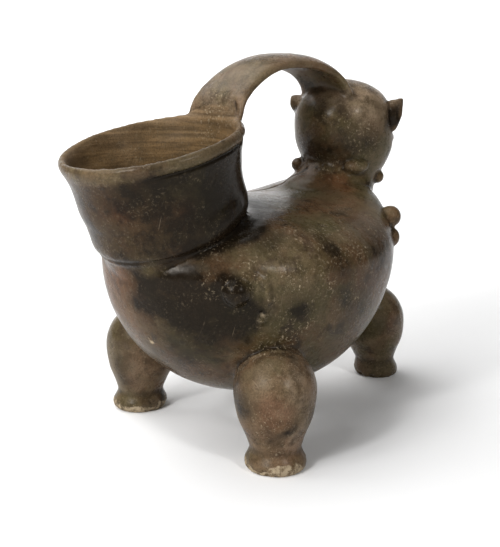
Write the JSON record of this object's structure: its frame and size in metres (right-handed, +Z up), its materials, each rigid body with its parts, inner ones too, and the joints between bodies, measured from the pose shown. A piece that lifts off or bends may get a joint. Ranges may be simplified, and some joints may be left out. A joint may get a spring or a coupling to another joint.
{
  "type": "zoomorphic vessel",
  "caption": "Burnished clay vessel shaped as an animal on bulbous legs, with a wide slanted cup over the tail and a strap handle to the head.",
  "frame": {"origin": "on the ground, at the middle of the box round the whole vessel", "axes": "+Z up, +Y towards the cup at the tail, so the animal faces -Y, +X towards the animal's left"},
  "size_m": [0.1546, 0.2398, 0.2061],
  "materials": {
    "burnished_clay": "burnished"
  },
  "bodies": {
    "root": {"upper_vessel": "burnished_clay", "lower_vessel": "burnished_clay"}
  },
  "joints": []
}
